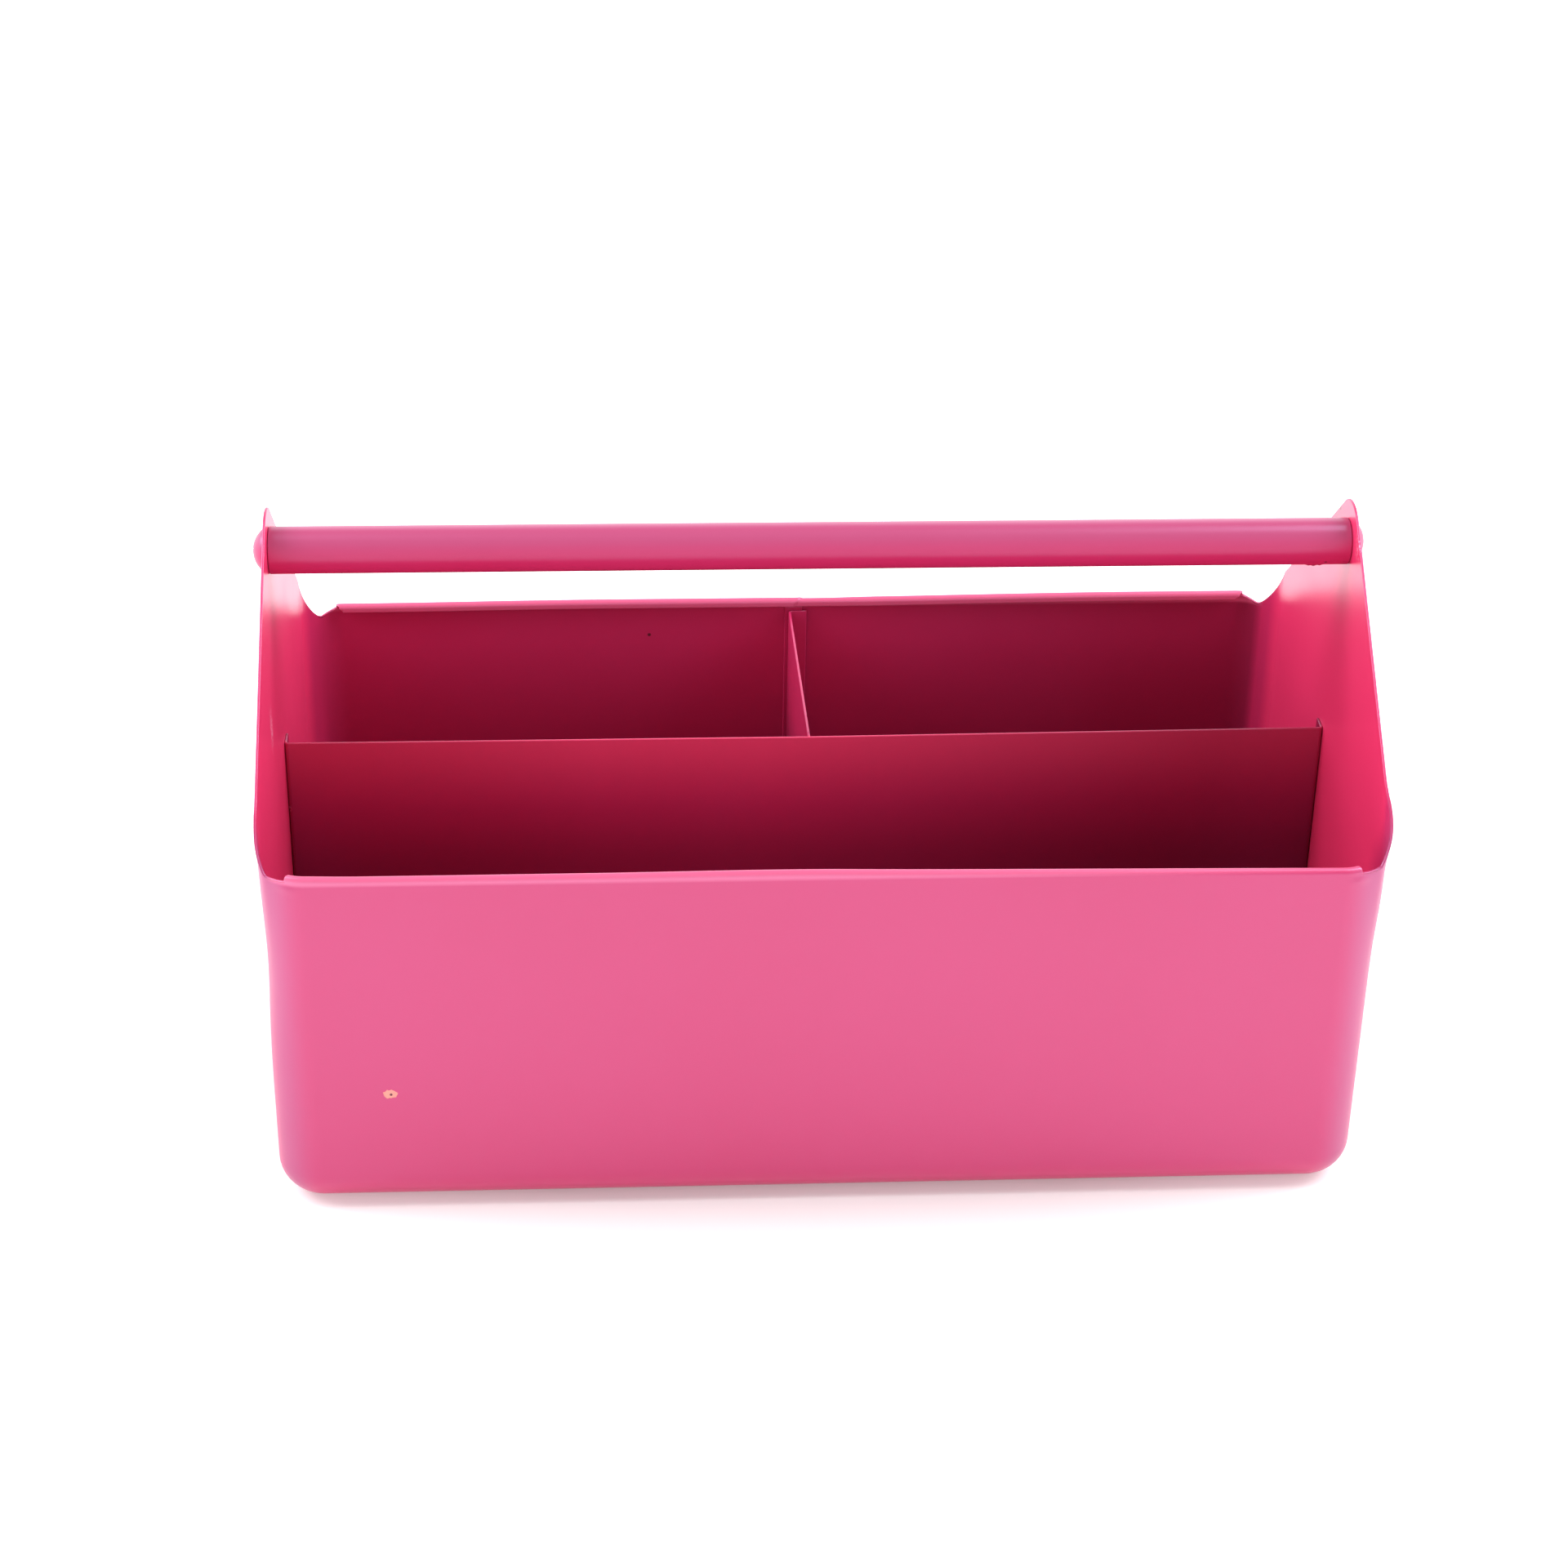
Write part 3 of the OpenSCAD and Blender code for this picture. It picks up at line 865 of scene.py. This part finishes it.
def cross_divider(material):
    left, front, floor_top = CROSS_LOW
    rear, top_rear = CROSS_HIGH[1], CROSS_HIGH[2]
    top_front = DIVIDER_HIGH[2]
    cut_y = HALF_DEP - EDGE_R - 1.5

    def bottom(p):
        if p[1] < cut_y:
            return floor_top
        return min(CURVE_H, lerp(floor_top, CURVE_H, (p[1] - cut_y) / (rear - BEND_R - cut_y)))

    def top(p):
        return lerp(top_front, top_rear, min(1, (p[1] - front) / (rear - BEND_R - front)))

    corner, tip = (left + CROSS_REAR_SHIFT, rear), (left + CROSS_FRONT_SHIFT, front)
    line = bent_plan([(left + SIDE_FLANGE, rear), corner, tip], BEND_R)
    panel = Sheet()
    panel.add(*upright(line, bottom, top))
    xs = np.linspace(left + SHEET, left + SHEET / 2 + FOOT_FLANGE, 5)
    ys = np.linspace(front, cut_y, 30)
    grid = np.array([[(x, y, floor_top + SHEET) for y in ys] for x in xs])
    panel.add(grid, np.broadcast_to((0.0, 0.0, 1.0), grid.shape))
    return panel.piece("cross_partition", material, "tub", "powder_coat", ["cross_divider"])


# ---------------------------------------------------------------- handle


def turned(name, outline, segments, material, body, replaces, closed=True):
    """A piece turned about the handle's axis from an outline of (place along X, radius).

    closed joins the outline's last point to its first, for a piece with a bore.
    """
    vertices = []
    faces = []
    count = len(outline)
    for k in range(segments):
        angle = 2 * math.pi * k / segments
        for x, r in outline:
            vertices.append((x, r * math.cos(angle), AXIS_H + r * math.sin(angle)))
    for k in range(segments):
        after = (k + 1) % segments
        for j in range(count if closed else count - 1):
            n = (j + 1) % count
            faces.append((k * count + j, k * count + n, after * count + n, after * count + j))
    piece = new_object(name, vertices, faces, material, body, replaces)
    made = bmesh.new()
    made.from_mesh(piece.data)
    bmesh.ops.remove_doubles(made, verts=made.verts, dist=1e-7)
    bmesh.ops.recalc_face_normals(made, faces=made.faces)
    made.to_mesh(piece.data)
    made.free()
    return piece


def rounded(corner, radius, start, end, count=5):
    """Points of a small round at a corner of an outline, from one angle to another, in degrees."""
    cx, cy = corner
    angles = np.radians(np.linspace(start, end, count))
    return [(cx + radius * math.cos(a), cy + radius * math.sin(a)) for a in angles]


def on_tube(x, turn):
    """A place on the grip tube's skin, its turn in degrees forward from the lowest line."""
    angle = math.radians(turn)
    return x, -TUBE_R * math.sin(angle), AXIS_H - TUBE_R * math.cos(angle)


# Scorched drips of coating under the right end of the grip: (place, radius)
DRIPS = [
    (on_tube(169.6, 24), 0.7),
    (on_tube(171.4, 22), 1.0),
    (on_tube(173.4, 25), 0.7),
    (on_tube(174.7, 52), 0.5),
]
DRIP_RISE = 0.5  # height of a drip as a part of its radius


def grip_tube(material):
    end, bore = TUBE_END, PLUG_R
    soft = 0.35
    outline = rounded((-end + soft, TUBE_R - soft), soft, 180, 90)
    outline += [(x, TUBE_R) for x in steps(-end + 4, 160, 6) + steps(160, end - 4, 0.5)]
    outline += rounded((end - soft, TUBE_R - soft), soft, 90, 0)
    outline += rounded((end - soft, bore + soft), soft, 0, -90)
    outline += [(end - 4, bore), (-end + 4, bore)]
    outline += rounded((-end + soft, bore + soft), soft, -90, -180)
    tube = turned("grip_tube", outline, 120, material, "handle", ["handle_tube"])
    for vertex in tube.data.vertices:
        place = np.array(vertex.co) / MM
        away = place - (place[0], 0, AXIS_H)
        if np.linalg.norm(away) > TUBE_R - 0.1:
            lift = sum(DRIP_RISE * r * hill(np.linalg.norm(place - spot), 0, r) for spot, r in DRIPS)
            vertex.co = Vector((place + away / TUBE_R * lift) * MM)
    return tube


def recess_arm(turn, side):
    """Cutter for one arm of a screw's cross recess, narrower and shorter towards its floor."""
    depth, length, width, floor_scale = 2.0, 3.2, 0.65, 0.62
    top = SCREW_HIGH[0] + 0.5
    vertices = []
    for x, scale in ((top, 1.0), (SCREW_HIGH[0] - depth, floor_scale)):
        for a, b in ((-1, -1), (1, -1), (1, 1), (-1, 1)):
            across = np.array((a * length * scale, b * width * (0.4 + 0.6 * scale)))
            y = across[0] * math.cos(turn) - across[1] * math.sin(turn)
            z = across[0] * math.sin(turn) + across[1] * math.cos(turn)
            vertices.append((side * x * MM, y * MM, (AXIS_H + z) * MM))
    faces = [(0, 1, 2, 3), (7, 6, 5, 4)] + [(k, k + 4, (k + 1) % 4 + 4, (k + 1) % 4) for k in range(4)]
    mesh = bpy.data.meshes.new("recess arm")
    mesh.from_pydata(vertices, [], faces)
    arm = bpy.data.objects.new("recess arm", mesh)
    bpy.context.scene.collection.objects.link(arm)
    made = bmesh.new()
    made.from_mesh(mesh)
    bmesh.ops.recalc_face_normals(made, faces=made.faces)
    made.to_mesh(mesh)
    made.free()
    return arm


def cut_away(piece, cutters):
    """Subtracts the cutters from a piece's own mesh, and removes them."""
    for cutter in cutters:
        cut = piece.modifiers.new("cut", "BOOLEAN")
        cut.operation = "DIFFERENCE"
        cut.solver = "EXACT"
        cut.object = cutter
        piece.modifiers.move(len(piece.modifiers) - 1, 0)
        shading = piece.modifiers[1:]
        for other in shading:
            other.show_viewport = False
        graph = bpy.context.evaluated_depsgraph_get()
        mesh = bpy.data.meshes.new_from_object(piece.evaluated_get(graph))
        for other in shading:
            other.show_viewport = True
        piece.modifiers.remove(cut)
        piece.data = mesh
        bpy.data.objects.remove(cutter)


def dome_screw(side, material):
    """Domed screw with a cross recess, side -1 at the left end and 1 at the right."""
    head_r = (SCREW_HIGH[2] - SCREW_LOW[2]) / 2
    base = SCREW_HIGH[0] - HEAD_H
    crown = HEAD_H - HEAD_EDGE_H
    crown_r = (head_r**2 + crown**2) / (2 * crown)
    tip = SCREW_LOW[0]
    outline = [(tip, 0.0), (tip, SCREW_R - 0.6), (tip + 0.6, SCREW_R), (base, SCREW_R), (base, head_r - 0.4)]
    outline += rounded((base + 0.4, head_r - 0.4), 0.4, 180, 90, 4)[1:]
    for t in np.linspace(0, 1, 16):
        r = (head_r - 0.04) * (1 - t)
        outline.append((SCREW_HIGH[0] - crown_r + math.sqrt(crown_r**2 - r**2), r))
    outline = [(side * x, r) for x, r in outline]
    name = "left" if side < 0 else "right"
    screw = turned(name + "_dome_screw", outline, 64, material, "handle", [name + "_screw"],
                   closed=False)
    cut_away(screw, [recess_arm(turn, side) for turn in (math.pi / 5, math.pi * 0.7)])
    for polygon in screw.data.polygons:
        polygon.use_smooth = True
    screw.data.set_sharp_from_angle(angle=math.radians(35))
    return screw


# ---------------------------------------------------------------- stage, light and camera


# Glow of the light table close to the caddy and far from it, and the distances between which it changes. The
# lower glow close to the caddy is a painted shadow of the caddy.
TABLE_NEAR = 0.20
TABLE_FAR = 0.75
TABLE_CHANGE = (105, 260)


def stage_floor():
    """A wide, plain, nearly white light table, a little dimmer round the caddy as a painted shadow."""
    made = bmesh.new()
    bmesh.ops.create_grid(made, x_segments=8, y_segments=8, size=4.0)
    mesh = bpy.data.meshes.new("studio_floor")
    made.to_mesh(mesh)
    made.free()
    ground = bpy.data.objects.new("studio_floor", mesh)
    bpy.context.scene.collection.objects.link(ground)
    paper = Shader("studio paper")
    shade = paper.ramp(paper.noise(400, 2), 0.3, 0.7, 0.78, 0.80)
    away = paper.distance((0, 0, 0), (0.55, 1, 1))
    glow = paper.ramp(away, *TABLE_CHANGE, TABLE_NEAR, TABLE_FAR)
    paper.set(Base_Color=paper.grey(shade), Roughness=0.75)
    paper.set(Emission_Color=(1, 1, 1, 1), Emission_Strength=glow)
    ground.data.materials.append(paper.material)


def softbox(name, place, size, power):
    """A rectangular light at a place in metres, turned to the caddy."""
    light = bpy.data.lights.new(name, "AREA")
    light.shape = "RECTANGLE"
    light.size, light.size_y = size
    light.energy = power
    lamp = bpy.data.objects.new(name, light)
    lamp.location = place
    lamp.rotation_euler = (Vector((0, 0, 0.1)) - Vector(place)).to_track_quat("-Z", "Y").to_euler()
    bpy.context.scene.collection.objects.link(lamp)


# Brightness of the studio's walls by side and height, and overhead
STUDIO = {
    ("front", "low"): 1.15,
    ("front", "high"): 0.5,
    ("left", "low"): 1.9,
    ("left", "high"): 1.2,
    ("right", "low"): 1.6,
    ("right", "high"): 1.5,
    ("rear", "low"): 1.6,
    ("rear", "high"): 1.6,
}
OVERHEAD = 0.2
SIDE_POWER = {-1: 16.0, 1: 15.0}
HIGH_SIDE_POWER = {-1: 8.0, 1: 9.0}


def studio_light():
    """White surroundings, of one brightness to each side at two heights, that blend into each other."""
    world = bpy.data.worlds.new("studio")
    world.use_nodes = True
    sky = Graph(world.node_tree)
    direction = sky.nodes.new("ShaderNodeTexCoord")
    parts = sky.nodes.new("ShaderNodeSeparateXYZ")
    sky.links.new(direction.outputs["Generated"], parts.inputs[0])
    x, y, z = parts.outputs
    across, along = sky.math("MULTIPLY", x, x), sky.math("MULTIPLY", y, y)
    sideways = sky.math("DIVIDE", across, sky.math("ADD", sky.math("ADD", across, along), 0.001))
    level = {}
    for height in ("low", "high"):
        left_right = sky.mix_value(sky.ramp(x, -0.01, 0.01), STUDIO["left", height], STUDIO["right", height])
        front_rear = sky.mix_value(sky.ramp(y, -0.01, 0.01), STUDIO["front", height], STUDIO["rear", height])
        level[height] = sky.mix_value(sideways, front_rear, left_right)
    walls = sky.mix_value(sky.ramp(z, 0.10, 0.45, even=True), level["low"], level["high"])
    strength = sky.mix_value(sky.ramp(z, 0.50, 0.85, even=True), walls, OVERHEAD)
    sky.links.new(strength, sky.nodes["Background"].inputs["Strength"])
    sky.nodes["Background"].inputs["Color"].default_value = (1, 1, 1, 1)
    bpy.context.scene.world = world
    for side in (-1, 1):
        softbox("side_softbox", (side * 1.3, 0.05, 1.15), (0.9, 0.7), SIDE_POWER[side])
        softbox("high_side_softbox", (side * 0.85, 0.05, 1.55), (0.7, 0.7), HIGH_SIDE_POWER[side])
    bpy.context.scene.view_settings.view_transform = "Standard"


def studio_camera():
    """The camera, at the photograph's viewing angle: a little left of the middle, looking down."""
    place = (-0.07163, -0.97286, 0.64956)
    yaw, pitch, roll = (math.radians(a) for a in (3.71, 29.14, 1.06))
    lens = bpy.data.cameras.new("camera")
    lens.sensor_width = 36
    lens.lens = 72.6
    lens.clip_end = 50
    camera = bpy.data.objects.new("camera", lens)
    aim = Matrix.Rotation(-yaw, 4, "Z") @ Matrix.Rotation(math.pi / 2 - pitch, 4, "X")
    camera.matrix_world = Matrix.Translation(place) @ (aim @ Matrix.Rotation(roll, 4, "Z"))
    bpy.context.scene.collection.objects.link(camera)
    bpy.context.scene.camera = camera


# ---------------------------------------------------------------- the caddy

# The marks are placed after the photographed ones. The wall's rubs are thin in X, to stay on its
# inner faces.
INSIDE_X = HALF_LEN - SHEET
SCORCH = 1.15  # radius of the scorched colour of a drip, as a multiple of its own
wall_coat = powder_coat(
    "powder coat, wall", wall_painted_light_and_shade,
    chips=[((-144.1, -HALF_DEP, 46.5), 1.75)],
    specks=[
        ((-54.2, HALF_DEP - SHEET, 115.6), 0.8),
        ((INSIDE_X, 13.7, 204.6), 1.0),
        ((175.9, -98.8, 9.5), 0.45),
    ],
    rubs=[((-INSIDE_X, -29, 146), 6.0, (8, 1.3, 0.6)), ((INSIDE_X, -15, 204), 5, (8, 1, 0.7))],
)
inner_coat = powder_coat(
    "powder coat, inner sheets", inner_painted_light_and_shade,
    rubs=[((-INSIDE_X, 6, 96.2), 1.8, (1, 0.6, 1))],
)
grip_coat = powder_coat(
    "powder coat, grip", grip_top_painted_highlight, gloss=grip_gloss,
    specks=[(spot, SCORCH * radius) for spot, radius in DRIPS],
)
zinc = zinc_plate("zinc plate")

tub_wall(wall_coat)
floor_plate(powder_coat("powder coat, floor", floor_painted_shade))
long_divider(inner_coat)
cross_divider(inner_coat)
grip_tube(grip_coat)
for side in (-1, 1):
    dome_screw(side, grip_coat)
for node in ("left_plug", "right_plug"):
    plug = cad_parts[node]
    plug.data.materials.clear()
    plug.data.materials.append(zinc)
stage_floor()
studio_light()
studio_camera()
